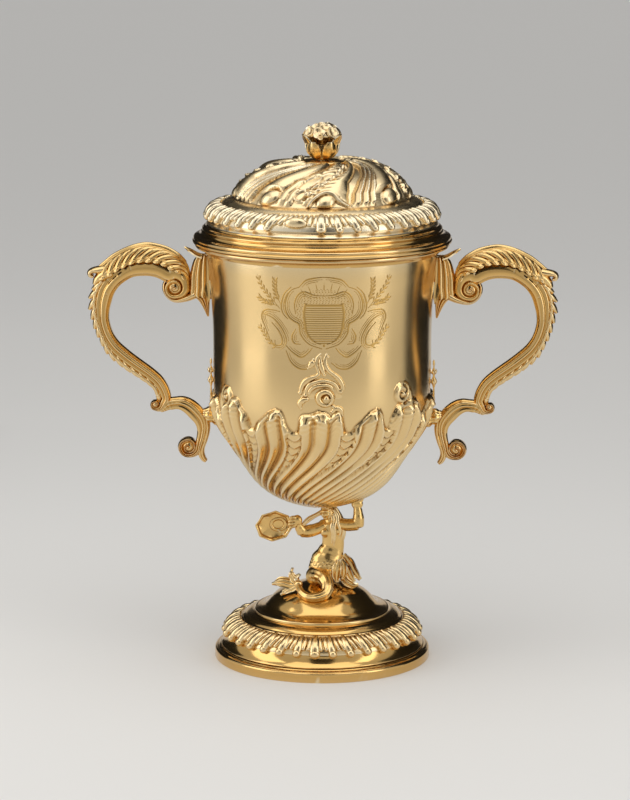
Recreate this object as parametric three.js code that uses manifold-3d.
import * as THREE from "three";
import { mergeVertices } from "three/addons/utils/BufferGeometryUtils.js";
import Module from "manifold-3d";

// Two-handled covered cup on a mermaid stem. Millimetres, +Z up, origin at the centre of the
// foot's underside. The handles lie along X and the engraved front faces -Y.

// Clearances and facets
const gap = 0.3;
const turnedSides = 36;
const smallSides = 24;
const curveSteps = 5;

// Foot
const footRadius = 76;
const footRimHeight = 8.4;
const footRimWidth = 2.4;
const footStepInset = 4.8;
const footBandSwell = 1.7;
const footHeight = 53;
const crownInset = 29.5;
const crownBase = 32;
const footWall = 1.8;

// Stem figure and its fixing
const stemHeight = 56.8;
const figureFoot = 53;
const figureHeight = 56.8;
const studRadius = 2.5;
const studReach = 22;
const washerRadius = 8;
const washerThickness = 1.6;
const nutRadius = 6.5;
const nutThickness = 5;
const studEnd = 2;
const seatMargin = 3;
const bossRadius = 7;
const bossThickness = 1.3;
const shellThickness = 3.4;

// Bowl
const bowlRadius = 76;
const bowlDepth = 186;
const bowlCurveHeight = 72;
const bowlWall = 1.8;
const throatFlare = 4.3;
const lipWidth = 7.7;
const lipHeight = 6.7;

// Handles
const handleSpan = 87.6;
const handleFootRise = 29.2;
const handleHeadDrop = 2.8;
const drawnSpan = 87.6;
const drawnRise = 154;
const scrollThickness = 10.5;
const scrollWidth = 11;
const leafThickness = 12.5;
const leafClearance = 0.6;
const upperVoluteRadius = 8.6;
const kneeVoluteRadius = 4.2;
const lowerVoluteRadius = 7.6;
const mountWidth = 15;
const sprigHeight = 34;

// Cover
const coverOverhang = 2;
const flangeHeight = 12.9;
const bezelDrop = 10;
const bezelClearance = 0.8;
const bezelWall = 1.6;
const coverNeckHeight = 4.6;
const coverBandSwell = 1.7;
const coverDomeInset = 19.7;
const coverRise = 54.4;
const coverWall = 1.6;

// Finial
const plateRadius = 15.4;
const plateThickness = 1.9;
const calyxHeight = 10.6;
const budHeight = 15.4;
const budRadius = 14.8;
const finialStudRadius = 2;
const finialNutRadius = 5.5;
const budBoreDepth = 8.5;

// Radii and heights that follow from the sizes above
const footStepRadius = footRadius - footStepInset;
const crownRadius = footRadius - crownInset;
const bowlBase = footHeight + stemHeight;
const lipTop = bowlBase + bowlDepth;
const throatRadius = bowlRadius + throatFlare;
const handleFoot = bowlBase + handleFootRise;
const handleRise = lipTop - handleHeadDrop - handleFoot;
const coverDomeRadius = throatRadius - coverDomeInset;
const flangeBase = lipTop + gap;
const domeEdge = flangeBase + flangeHeight + gap;
const domeTop = lipTop + coverRise;

const wasm = await Module();
wasm.setup();

const polishedGilt = new THREE.MeshStandardMaterial({ color: 0xd9ac62, roughness: 0.16, metalness: 1 });
const satinGilt = new THREE.MeshStandardMaterial({ color: 0xd6a75c, roughness: 0.3, metalness: 1 });
const castGilt = new THREE.MeshStandardMaterial({ color: 0xcf9f55, roughness: 0.26, metalness: 1 });

// Points and curves
const flat = (x, y) => new THREE.Vector2(x, y);
const point = (x, y, z) => new THREE.Vector3(x, y, z);
const bezier = (steps, ...ends) => new THREE.CubicBezierCurve(...ends).getPoints(steps);
const splineOf = (points) => new THREE.CatmullRomCurve3(points, false, "centripetal");

// A closed solid with shared corners, no empty triangles and its faces pointing out
function sound(geometry) {
  const bare = new THREE.BufferGeometry();
  bare.setAttribute("position", geometry.getAttribute("position"));
  if (geometry.index) bare.setIndex(geometry.index);
  const merged = mergeVertices(bare, 1e-4);
  const corners = merged.getAttribute("position");
  const old = merged.index.array;
  const [a, b, c] = [point(0, 0, 0), point(0, 0, 0), point(0, 0, 0)];
  const kept = [];
  let volume = 0;
  for (let i = 0; i < old.length; i += 3) {
    const [p, q, r] = [old[i], old[i + 1], old[i + 2]];
    if (p === q || q === r || r === p) continue;
    kept.push(p, q, r);
    a.fromBufferAttribute(corners, p);
    b.fromBufferAttribute(corners, q);
    c.fromBufferAttribute(corners, r);
    volume += a.dot(b.cross(c));
  }
  if (volume < 0) kept.reverse();
  merged.setIndex(kept);
  return merged;
}

// Booleans on closed solids
function toManifold(geometry) {
  const vertProperties = geometry.getAttribute("position").array;
  const triVerts = new Uint32Array(geometry.index.array);
  return new wasm.Manifold(new wasm.Mesh({ numProp: 3, vertProperties, triVerts }));
}

function fromManifold(solid) {
  const mesh = solid.getMesh();
  const geometry = new THREE.BufferGeometry();
  geometry.setAttribute("position", new THREE.BufferAttribute(mesh.vertProperties, 3));
  geometry.setIndex(new THREE.BufferAttribute(mesh.triVerts, 1));
  return geometry;
}

function joined(...geometries) {
  return fromManifold(geometries.map(toManifold).reduce((all, next) => all.add(next)));
}

function cut(geometry, ...tools) {
  const whole = toManifold(geometry);
  return fromManifold(tools.map(toManifold).reduce((left, tool) => left.subtract(tool), whole));
}

// The same solid on the other side of the YZ plane
function mirrored(geometry) {
  const copy = geometry.clone();
  copy.scale(-1, 1, 1);
  return sound(copy);
}

// A solid turned about the Z axis from an outline of radius and height
function turned(outline, sides = turnedSides) {
  const geometry = new THREE.LatheGeometry(outline, sides);
  geometry.rotateX(Math.PI / 2);
  return sound(geometry);
}

// A turned ring whose outline closes on itself
function ring(outline, sides) {
  return turned([...outline, outline[0]], sides);
}

// A run of outline points moved sideways, to the left of its direction
function offsetRun(points, distance) {
  return points.map((here, i) => {
    const before = points[Math.max(i - 1, 0)];
    const after = points[Math.min(i + 1, points.length - 1)];
    const first = i > 0 ? here.clone().sub(before).normalize() : after.clone().sub(here).normalize();
    const second = i < points.length - 1 ? after.clone().sub(here).normalize() : first;
    const along = first.clone().add(second).normalize();
    const reach = distance / Math.max(along.dot(first), 0.5);
    return flat(here.x - along.y * reach, here.y + along.x * reach);
  });
}

// A tube of changing section along a curve; section(t) gives offsets outward and across
function swept(curve, steps, section, side) {
  const frames = curve.computeFrenetFrames(steps, false);
  const positions = [];
  for (let i = 0; i <= steps; i++) {
    const t = i / steps;
    const centre = curve.getPointAt(t);
    const across = side ?? frames.binormals[i];
    const out = side ? point(0, 0, 0).crossVectors(frames.tangents[i], side) : frames.normals[i];
    for (const [u, v] of section(t)) {
      positions.push(centre.x + out.x * u + across.x * v);
      positions.push(centre.y + out.y * u + across.y * v);
      positions.push(centre.z + out.z * u + across.z * v);
    }
  }
  const count = section(0).length;
  const faces = [];
  for (let i = 0; i < steps; i++) {
    for (let j = 0; j < count; j++) {
      const a = i * count + j;
      const b = i * count + ((j + 1) % count);
      faces.push(a, b, b + count, a, b + count, a + count);
    }
  }
  const cap = THREE.ShapeUtils.triangulateShape(section(0).map(([u, v]) => flat(u, v)), []);
  const last = steps * count;
  const turnsLeft = THREE.ShapeUtils.area(section(0).map(([u, v]) => flat(u, v))) > 0;
  for (const [a, b, c] of cap) {
    const [p, q] = turnsLeft ? [b, c] : [c, b];
    faces.push(a, q, p, last + a, last + p, last + q);
  }
  const geometry = new THREE.BufferGeometry();
  geometry.setAttribute("position", new THREE.Float32BufferAttribute(positions, 3));
  geometry.setIndex(faces);
  return sound(geometry);
}

// An ellipse as a section, with its half size outward and across
function ellipse(outward, across, count = 10) {
  return Array.from({ length: count }, (_, i) => {
    const angle = (i / count) * 2 * Math.PI;
    return [outward * Math.cos(angle), across * Math.sin(angle)];
  });
}

// A value that runs smoothly through evenly spaced stops
function along(stops, t) {
  const place = t * (stops.length - 1);
  const i = Math.min(Math.floor(place), stops.length - 2);
  const s = place - i;
  const ease = s * s * (3 - 2 * s);
  return stops[i] + (stops[i + 1] - stops[i]) * ease;
}

function tube(points, radii, steps, flatness = 1, count = 10) {
  const section = (t) => ellipse(along(radii, t), along(radii, t) * flatness, count);
  return swept(splineOf(points), steps, section);
}

function ball(centre, rx, ry, rz) {
  const geometry = new THREE.SphereGeometry(1, 16, 10);
  geometry.scale(rx, ry, rz);
  geometry.translate(centre.x, centre.y, centre.z);
  return sound(geometry);
}

// A plate cut from an outline in the XZ plane, centred on y
function plateXZ(outline, thickness, y = 0) {
  const shape = new THREE.Shape(outline);
  const geometry = new THREE.ExtrudeGeometry(shape, { depth: thickness, bevelEnabled: false });
  geometry.rotateX(Math.PI / 2);
  geometry.translate(0, y + thickness / 2, 0);
  return sound(geometry);
}

// A round boss whose axis lies along Y
function bossAlongY(centre, radius, width, sides = 18) {
  const geometry = new THREE.CylinderGeometry(radius, radius, width, sides);
  geometry.translate(centre.x, centre.y, centre.z);
  return sound(geometry);
}

// Foot
const crownSeat = washerRadius + seatMargin;
const footSteps = [
  flat(footStepRadius, footRimHeight + gap),
  flat(footStepRadius, footRimHeight + 4),
  flat(footStepRadius - 2.6, footRimHeight + 7.2),
  flat(footStepRadius - 5.4, footRimHeight + 11.2),
  flat(footStepRadius - 10.6, footRimHeight + 14.8),
  flat(footStepRadius - 14.4, footRimHeight + 16.8),
  flat(crownRadius + 4.2, crownBase - 3),
];
const footCrown = bezier(
  curveSteps,
  flat(crownRadius, crownBase),
  flat(crownRadius - 10.5, crownBase + 4),
  flat(crownRadius - 17.5, footHeight - 1),
  flat(crownSeat, footHeight),
);
const footOutside = [...footSteps, ...footCrown];

function filledFoot(grow) {
  const outside = offsetRun(footOutside, -grow);
  const base = flat(0, footOutside[0].y);
  return turned([base, flat(outside[0].x, base.y), ...outside, flat(0, footHeight + grow)]);
}

function footRim() {
  const inside = footStepRadius - footRimWidth;
  return ring([
    flat(inside, 0),
    flat(footRadius, 0),
    flat(footRadius, footRimHeight - 3.2),
    flat(footStepRadius + 1.2, footRimHeight),
    flat(inside, footRimHeight),
  ]);
}

function footDome() {
  const hole = studRadius + gap;
  const outside = [...footOutside, flat(hole, footHeight)];
  const inside = offsetRun(footOutside, footWall);
  inside[0].y = footOutside[0].y;
  return ring([...outside, flat(hole, footHeight - footWall), ...inside.reverse()]);
}

// A border that lies on a turned surface and swells between its edges
function borderOn(run, swell) {
  const seat = offsetRun(run, -gap);
  const outer = run.map((_, i) => {
    const share = i / (run.length - 1);
    return offsetRun(run, -gap - 0.8 - swell * Math.sin(Math.PI * share))[i];
  });
  return ring([...seat, ...outer.reverse()]);
}

function footGadroonBand() {
  return borderOn(footSteps.slice(1, 6), footBandSwell);
}

// Stud, washer and nut under the crown
const washerTop = footHeight - footWall - gap;
const nutTop = washerTop - washerThickness - gap;

function stemStud() {
  const bottom = nutTop - nutThickness - studEnd;
  const top = footHeight + studReach;
  return solidDisc(studRadius, top, top - bottom, smallSides);
}

function squareRing(inside, outside, top, height, sides) {
  const bottom = top - height;
  return ring([flat(inside, top), flat(inside, bottom), flat(outside, bottom), flat(outside, top)], sides);
}

function solidDisc(radius, top, height, sides) {
  const bottom = top - height;
  return turned([flat(0, bottom), flat(radius, bottom), flat(radius, top), flat(0, top)], sides);
}

function stemWasher() {
  return squareRing(studRadius + gap, washerRadius, washerTop, washerThickness, smallSides);
}

function hexNut(hole, radius, top, height) {
  return cut(solidDisc(radius, top, height, 6), solidDisc(hole, top + 1, height + 2, smallSides));
}

// Mermaid figure, drawn from figureFoot up and scaled to stand from the crown to the bowl
const stemScale = stemHeight / figureHeight;
const figure = (x, y, z) => point(x, y, footHeight + (z - figureFoot) * stemScale);
const headCentre = figure(2.6, -1.5, 101);
const shellCentre = figure(-34.4, -9, 94.2);

function studBore() {
  const top = footHeight + studReach + gap;
  return solidDisc(studRadius + gap, top, top, smallSides);
}

function mermaidTrunk(grow) {
  const spine = [
    figure(4.5, 0, 53 + gap),
    figure(5.5, -0.5, 64),
    figure(7.6, -0.5, 74),
    figure(8, -1, 82),
    figure(7.8, -2.2, 90),
    figure(7.2, -1, 95.5),
    figure(6, -0.5, 99.5),
  ];
  const wide = [12, 14.2, 8, 7.6, 10.2, 10.6, 3.4];
  const deep = [10, 10.5, 6, 5.6, 7, 5.2, 3.4];
  const section = (t) => ellipse(along(wide, t) + grow, along(deep, t) + grow, 14);
  const trunk = swept(splineOf(spine), 14, section, point(0, 1, 0));
  const head = ball(headCentre, 6.2 + grow, 6.8 + grow, 7.4 * stemScale + grow);
  const hair = tube(
    [figure(5, 4, 103), figure(10, 6.4, 96), figure(12, 5.6, 86), figure(11, 5.6, 78)],
    [4.6 + grow, 4.4 + grow, 3.4 + grow, 1.8 + grow],
    8,
  );
  return joined(trunk, head, hair);
}

function mermaidBody() {
  return cut(mermaidTrunk(0), filledFoot(gap), studBore(), filledBowl(gap), bowlBoss(gap));
}

function shellDish(grow) {
  const lobes = 8;
  const rim = Array.from({ length: lobes * 4 }, (_, i) => {
    const angle = (i / (lobes * 4)) * 2 * Math.PI;
    const reach = 1 - 0.05 * Math.abs(Math.sin((lobes / 2) * angle));
    return flat(Math.cos(angle) * (12.7 * reach + grow), Math.sin(angle) * (10.9 * reach + grow));
  });
  const dish = plateXZ(rim, shellThickness + 2 * grow);
  dish.rotateZ(0.25);
  dish.translate(shellCentre.x, shellCentre.y, shellCentre.z);
  return dish;
}

function shellArm() {
  const limb = tube(
    [
      figure(-1, -1.5, 94.5),
      figure(-7, -3.5, 90.5),
      figure(-14.4, -5, 88.2),
      figure(-18, -6.6, 92),
      figure(-18.6, -7.4, 97),
    ],
    [3.8, 3.4, 3.1, 2.6, 3.8],
    12,
  );
  return cut(limb, mermaidTrunk(gap), shellDish(gap));
}

function raisedArm() {
  const limb = tube(
    [
      figure(13, -2, 93.5),
      figure(20, -3, 92.4),
      figure(26, -3.4, 93.6),
      figure(25.6, -2.6, 103),
      figure(26.4, -1.5, 108),
      figure(27.2, 0, 116),
    ],
    [4, 3.6, 3.5, 2.7, 2.6, 4],
    14,
  );
  return cut(limb, mermaidTrunk(gap), filledBowl(gap));
}

function tailCoil(grow) {
  return tube(
    [
      figure(-5, -9, 65),
      figure(3, -14.5, 62.5),
      figure(8.6, -18.5, 57),
      figure(6.5, -23.5, 52),
      figure(-2.5, -26.5, 49.6),
      figure(-11, -24, 51),
      figure(-15.5, -19.5, 54.5),
      figure(-18.5, -16, 57),
    ],
    [6 + grow, 5.4 + grow, 4.9 + grow, 4.3 + grow, 3.7 + grow, 3.2 + grow, 2.8 + grow, 2.4 + grow],
    26,
  );
}

function mermaidTail() {
  return cut(tailCoil(0), mermaidTrunk(gap), filledFoot(gap));
}

function tailFin() {
  const shape = new THREE.Shape();
  shape.moveTo(-16.5, 54);
  shape.quadraticCurveTo(-17, 60, -20, 65.5);
  shape.quadraticCurveTo(-23.5, 62, -24, 58.6);
  shape.quadraticCurveTo(-29, 57, -34.6, 54.4);
  shape.quadraticCurveTo(-30, 52, -27, 52.6);
  shape.quadraticCurveTo(-28, 50, -29, 47);
  shape.quadraticCurveTo(-22, 49, -16.5, 54);
  const outline = shape.getPoints(4).slice(0, -1);
  const scaled = outline.map((p) => flat(p.x, figure(0, 0, p.y).z));
  return cut(plateXZ(scaled, 3, -15.5), tailCoil(gap), filledFoot(gap));
}

function hipFin() {
  const shape = new THREE.Shape();
  shape.moveTo(10, 66);
  shape.quadraticCurveTo(14, 70, 19.5, 67);
  shape.quadraticCurveTo(20, 64, 24.5, 63);
  shape.quadraticCurveTo(24.5, 59.5, 28.5, 56.5);
  shape.quadraticCurveTo(23, 52, 15, 54);
  shape.quadraticCurveTo(10, 58, 10, 66);
  const outline = shape.getPoints(4).slice(0, -1);
  const scaled = outline.map((p) => flat(p.x, figure(0, 0, p.y).z));
  return cut(plateXZ(scaled, 4, -7), tailCoil(gap), mermaidTrunk(gap), filledFoot(gap));
}

// Bowl
const bowlOutside = [
  ...bezier(
    curveSteps + 1,
    flat(bossRadius + seatMargin, bowlBase),
    flat(bowlRadius - 30, bowlBase + 2.2),
    flat(bowlRadius - 16, bowlBase + bowlCurveHeight * 0.52),
    flat(bowlRadius - 0.5, bowlBase + bowlCurveHeight),
  ),
  flat(bowlRadius, bowlBase + bowlCurveHeight + 38),
  flat(bowlRadius, lipTop - 52),
  flat(throatRadius, lipTop - lipHeight - 3),
  flat(throatRadius, lipTop),
];

function filledBowl(grow) {
  const outside = offsetRun(bowlOutside, -grow);
  return turned([flat(0, bowlBase - grow), ...outside, flat(0, lipTop)]);
}

function bowl() {
  const inside = offsetRun(bowlOutside, bowlWall);
  inside[inside.length - 1].y = lipTop;
  const floor = flat(0, bowlBase + bowlWall);
  return turned([flat(0, bowlBase), ...bowlOutside, ...inside.reverse(), floor]);
}

function bowlBoss(grow) {
  return solidDisc(bossRadius + grow, bowlBase - gap, bossThickness + grow, smallSides);
}

function lipMoulding() {
  const inside = throatRadius + gap;
  const bottom = lipTop - lipHeight;
  return ring([
    flat(inside, bottom),
    flat(inside + 1.4, bottom + 1.2),
    flat(inside + lipWidth - 2.2, bottom + 4),
    flat(inside + lipWidth - 0.3, bottom + 5.2),
    flat(inside + lipWidth - 0.3, lipTop),
    flat(inside, lipTop),
  ]);
}

// Handles, drawn on the left; out is the distance from the bowl's wall, up from the tail tip
function handlePoint(out, up) {
  return point(-bowlRadius - (out * handleSpan) / drawnSpan, 0, handleFoot + (up * handleRise) / drawnRise);
}

const acrossHandle = point(0, 1, 0);
const upperVolute = handlePoint(26.6, 123.6);
const kneeVolute = handlePoint(40.2, 40.3);
const lowerVolute = handlePoint(17.9, 10.5);
const scrollCurve = splineOf([
  handlePoint(23, 131),
  handlePoint(30, 135.8),
  handlePoint(47.4, 138),
  handlePoint(58.2, 135.6),
  handlePoint(66.4, 129.4),
  handlePoint(73.2, 121.7),
  handlePoint(77.3, 113.9),
  handlePoint(78.1, 104),
  handlePoint(76.1, 95.5),
  handlePoint(71.7, 87.3),
  handlePoint(62.1, 75.6),
  handlePoint(51.7, 67.1),
  handlePoint(42.3, 57.8),
  handlePoint(37.5, 49.2),
  handlePoint(35.9, 40),
]);
const scrollTaper = [0.62, 0.66, 0.6, 0.52, 0.5, 0.5, 0.5, 0.48, 0.42];

function scrollSection(t, grow) {
  return [along(scrollTaper, t) * scrollThickness + grow, scrollWidth / 2 + grow];
}

function volutes(grow) {
  return joined(
    bossAlongY(upperVolute, upperVoluteRadius + grow, scrollWidth + 2 + 2 * grow),
    bossAlongY(kneeVolute, kneeVoluteRadius + grow, scrollWidth - 2 + 2 * grow, 14),
  );
}

function handleScroll(grow) {
  const section = (t) => ellipse(...scrollSection(t, grow));
  return joined(swept(scrollCurve, 30, section, acrossHandle), volutes(grow));
}

// Leaf over the outside of the scroll, from beside the volute to the knee, with a curled thumb tip
function handleLeaf() {
  const start = 0.05;
  const end = 0.92;
  const wrap = 1.3;
  const swells = [0.55, 0.88, 1, 0.84, 0.36, 0.34, 0.32, 0.28, 0.22, 0.16];
  const curve = new THREE.Curve();
  curve.getPoint = (t) => scrollCurve.getPointAt(start + (end - start) * t);
  const section = (t) => {
    const [half, wide] = scrollSection(start + (end - start) * t, leafClearance);
    const thick = along(swells, t) * leafThickness;
    const angles = [-1, -0.6, -0.2, 0.2, 0.6, 1].map((share) => share * wrap);
    const inner = angles.map((a) => [-half * Math.cos(a), wide * Math.sin(a)]);
    const outer = angles.map((a) => {
      const rise = thick * (0.15 + 0.85 * Math.cos(a));
      return [-half * Math.cos(a) - rise, (wide + 0.8 + thick * 0.14) * Math.sin(a)];
    });
    return [...outer, ...inner.reverse()];
  };
  const leaf = swept(curve, 26, section, acrossHandle);
  const tip = tube(
    [handlePoint(70, 134), handlePoint(77, 131), handlePoint(83, 131.4), handlePoint(85.4, 135.4)],
    [4.4, 3.8, 2.8, 2.2],
    8,
    1.5,
  );
  return cut(joined(leaf, cut(tip, handleScroll(leafClearance))), volutes(gap), upperMountBlank(gap));
}

function upperMountBlank(grow) {
  const outline = [
    [19.6, 151.6],
    [15.5, 146],
    [17.4, 138],
    [17.6, 117],
    [12, 116.6],
    [8.6, 113],
    [4.4, 103],
    [3.2, 107],
    [-6, 118],
    [-6, 143],
    [4.6, 144.4],
    [9, 146.6],
  ];
  const corners = outline.map(([out, up]) => {
    const p = handlePoint(out, up);
    return flat(p.x, p.z);
  });
  const blank = plateXZ(corners, mountWidth + 2 * grow);
  return grow > 0 ? joined(blank, plateXZ(offsetOutline(corners, grow), mountWidth + 2 * grow)) : blank;
}

// A closed outline moved outward, whichever way it runs
function offsetOutline(corners, distance) {
  const sign = THREE.ShapeUtils.area(corners) > 0 ? -1 : 1;
  const looped = [corners[corners.length - 1], ...corners, corners[0]];
  return offsetRun(looped, sign * distance).slice(1, -1);
}

function handleUpperMount() {
  return cut(upperMountBlank(0), filledBowl(gap), handleScroll(gap), lipGuard());
}

// Room for the lip moulding above the mounts
function lipGuard() {
  const bottom = lipTop - lipHeight - gap;
  const outside = throatRadius + lipWidth + 2 * gap;
  const top = lipTop + gap;
  return turned([
    flat(0, bottom),
    flat(throatRadius + 1, bottom),
    flat(outside, bottom + 4),
    flat(outside, top),
    flat(0, top),
  ]);
}

function lowerScroll(grow) {
  const curve = splineOf([
    handlePoint(31.6, 42.6),
    handlePoint(24, 43.4),
    handlePoint(14.6, 38.6),
    handlePoint(8.6, 28.6),
    handlePoint(7.6, 18),
    handlePoint(8.4, 8.6),
    handlePoint(6.2, 1.6),
  ]);
  const halves = [3.6, 4.4, 4.8, 4.6, 4.4, 3, 1.6];
  const section = (t) => ellipse(along(halves, t) + grow, scrollWidth * 0.45 + grow);
  return joined(
    swept(curve, 16, section, acrossHandle),
    bossAlongY(lowerVolute, lowerVoluteRadius + grow, scrollWidth + 2 * grow),
  );
}

function handleLowerScroll() {
  return cut(lowerScroll(0), handleScroll(gap), filledBowl(gap));
}

function handleLowerStub() {
  const corners = [handlePoint(6.4, 39.4), handlePoint(3, 26.4), handlePoint(-14, 26.4), handlePoint(-8, 40)];
  const blank = plateXZ(corners.map((p) => flat(p.x, p.z)), scrollWidth - 1);
  return cut(blank, filledBowl(gap), lowerScroll(gap));
}

// Slender bud sprig that stands beside each handle
function budSprig() {
  const base = handlePoint(2.3, 41.5);
  const outline = [
    flat(0, 0),
    flat(1, 0.4),
    flat(0.7, 10),
    flat(0.8, 13),
    flat(1.9, 15.4),
    flat(1.5, 18.6),
    flat(0.6, 20.4),
    flat(1.3, 23.4),
    flat(0.5, 26.4),
    flat(0.7, 31),
    flat(0, sprigHeight),
  ];
  const sprig = turned(outline, 8);
  sprig.translate(base.x, 0, base.z);
  return cut(sprig, filledBowl(gap), upperMountBlank(gap));
}

// Cover
const bezelRadius = throatRadius - bowlWall - bezelClearance;

function coverBezel() {
  const height = flangeHeight - gap + bezelDrop;
  return squareRing(bezelRadius - bezelWall, bezelRadius, flangeBase + flangeHeight - gap, height);
}

function coverFlange() {
  const inside = bezelRadius + gap;
  const edge = throatRadius + lipWidth + coverOverhang;
  const top = flangeBase + flangeHeight;
  return ring([
    flat(inside, flangeBase),
    flat(edge, flangeBase),
    flat(edge, flangeBase + 1.6),
    flat(edge - 1.8, flangeBase + 6.6),
    flat(edge - 5.8, flangeBase + 7.8),
    flat(edge - 6.6, flangeBase + 10.4),
    flat(edge - 8.4, top - 0.6),
    flat(throatRadius - 0.1, top),
    flat(inside, top),
  ]);
}

const coverShoulder = [
  flat(throatRadius - 0.1, domeEdge),
  flat(throatRadius - 0.4, domeEdge + coverNeckHeight),
  flat(throatRadius - 3.8, domeEdge + coverNeckHeight + 3.8),
  flat(throatRadius - 11.8, domeEdge + coverNeckHeight + 8),
  flat(coverDomeRadius + 6, domeEdge + coverNeckHeight + 9.6),
];
const coverOutside = [
  ...coverShoulder,
  ...bezier(
    curveSteps,
    flat(coverDomeRadius, domeEdge + coverNeckHeight + 10.8),
    flat(coverDomeRadius - 8.6, domeTop - 12.4),
    flat(coverDomeRadius - 16.6, domeTop),
    flat(plateRadius, domeTop),
  ),
];

function coverDome() {
  const hole = finialStudRadius + gap;
  const inside = offsetRun(coverOutside, coverWall);
  inside[0].y = domeEdge;
  return ring([...coverOutside, flat(hole, domeTop), flat(hole, domeTop - coverWall), ...inside.reverse()]);
}

function coverGadroonBand() {
  return borderOn(coverShoulder.slice(1), coverBandSwell);
}

// Finial
const plateBase = domeTop + gap;
const calyxBase = plateBase + plateThickness + gap;
const budBase = calyxBase + calyxHeight + gap;

function finialPlate() {
  const hole = finialStudRadius + gap;
  return ring(
    [
      flat(hole, plateBase),
      flat(plateRadius, plateBase),
      flat(plateRadius, plateBase + plateThickness / 2),
      flat(plateRadius - 2.4, plateBase + plateThickness),
      flat(hole, plateBase + plateThickness),
    ],
    smallSides,
  );
}

// Waves round a turned piece, like the lobes of leaves or petals
function lobed(geometry, lobes, depth) {
  const corners = geometry.getAttribute("position");
  for (let i = 0; i < corners.count; i++) {
    const [x, y] = [corners.getX(i), corners.getY(i)];
    const radius = Math.hypot(x, y);
    if (radius < finialStudRadius + 1) continue;
    const wave = 1 - depth * (0.5 - 0.5 * Math.cos(lobes * Math.atan2(y, x)));
    corners.setXY(i, x * wave, y * wave);
  }
  return geometry;
}

function finialCalyx() {
  const hole = finialStudRadius + gap;
  const outline = [
    flat(hole, calyxBase),
    flat(8, calyxBase),
    flat(13, calyxBase + 2.4),
    flat(11.4, calyxBase + 6),
    flat(15.6, calyxBase + calyxHeight),
    flat(hole, calyxBase + calyxHeight),
  ];
  return lobed(ring(outline, 32), 8, 0.16);
}

function finialBud() {
  const hole = finialStudRadius + gap;
  const bore = budBase + budBoreDepth;
  const outline = [
    flat(0, bore),
    flat(hole, bore),
    flat(hole, budBase),
    flat(10, budBase),
    flat(budRadius, budBase + budHeight * 0.32),
    flat(budRadius - 1.4, budBase + budHeight * 0.6),
    flat(budRadius * 0.6, budBase + budHeight * 0.9),
    flat(0, budBase + budHeight),
  ];
  return lobed(turned(outline, 24), 6, 0.12);
}

const finialNutTop = domeTop - coverWall - gap;

function finialStud() {
  const bottom = finialNutTop - nutThickness - studEnd;
  const top = budBase + budBoreDepth - gap;
  return solidDisc(finialStudRadius, top, top - bottom, smallSides);
}

// Assembly
function piece(name, geometry, material) {
  const mesh = new THREE.Mesh(geometry, material);
  mesh.name = name;
  return mesh;
}

function group(...pieces) {
  const made = new THREE.Group();
  made.add(...pieces);
  return made;
}

function handle(side, place) {
  return group(
    piece(`${side}_handle_scroll`, place(handleScroll(0)), polishedGilt),
    piece(`${side}_handle_leaf`, place(handleLeaf()), castGilt),
    piece(`${side}_handle_upper_mount`, place(handleUpperMount()), castGilt),
    piece(`${side}_handle_lower_scroll`, place(handleLowerScroll()), polishedGilt),
    piece(`${side}_handle_lower_stub`, place(handleLowerStub()), castGilt),
    piece(`${side}_bud_sprig`, place(budSprig()), castGilt),
  );
}

const foot = group(
  piece("foot_rim", footRim(), polishedGilt),
  piece("foot_dome", footDome(), polishedGilt),
  piece("foot_gadroon_band", footGadroonBand(), castGilt),
);

const stem = group(
  piece("stem_stud", stemStud(), polishedGilt),
  piece("stem_washer", stemWasher(), polishedGilt),
  piece("stem_nut", hexNut(studRadius + gap, nutRadius, nutTop, nutThickness), polishedGilt),
  piece("mermaid_body", mermaidBody(), castGilt),
  piece("mermaid_shell_arm", shellArm(), castGilt),
  piece("mermaid_raised_arm", raisedArm(), castGilt),
  piece("mermaid_shell", shellDish(0), polishedGilt),
  piece("mermaid_tail", mermaidTail(), castGilt),
  piece("tail_fin", tailFin(), castGilt),
  piece("hip_fin", hipFin(), castGilt),
  piece("bowl_boss", bowlBoss(0), polishedGilt),
);

const body = group(
  piece("bowl", bowl(), satinGilt),
  piece("lip_moulding", lipMoulding(), polishedGilt),
  handle("left", (geometry) => geometry),
  handle("right", mirrored),
);

const finialHole = finialStudRadius + gap;
const cover = group(
  piece("cover_bezel", coverBezel(), polishedGilt),
  piece("cover_flange", coverFlange(), polishedGilt),
  piece("cover_dome", coverDome(), satinGilt),
  piece("cover_gadroon_band", coverGadroonBand(), castGilt),
  piece("finial_plate", finialPlate(), polishedGilt),
  piece("finial_calyx", finialCalyx(), castGilt),
  piece("finial_bud", finialBud(), castGilt),
  piece("finial_stud", finialStud(), polishedGilt),
  piece("finial_nut", hexNut(finialHole, finialNutRadius, finialNutTop, nutThickness), polishedGilt),
);

export default group(foot, stem, body, cover);
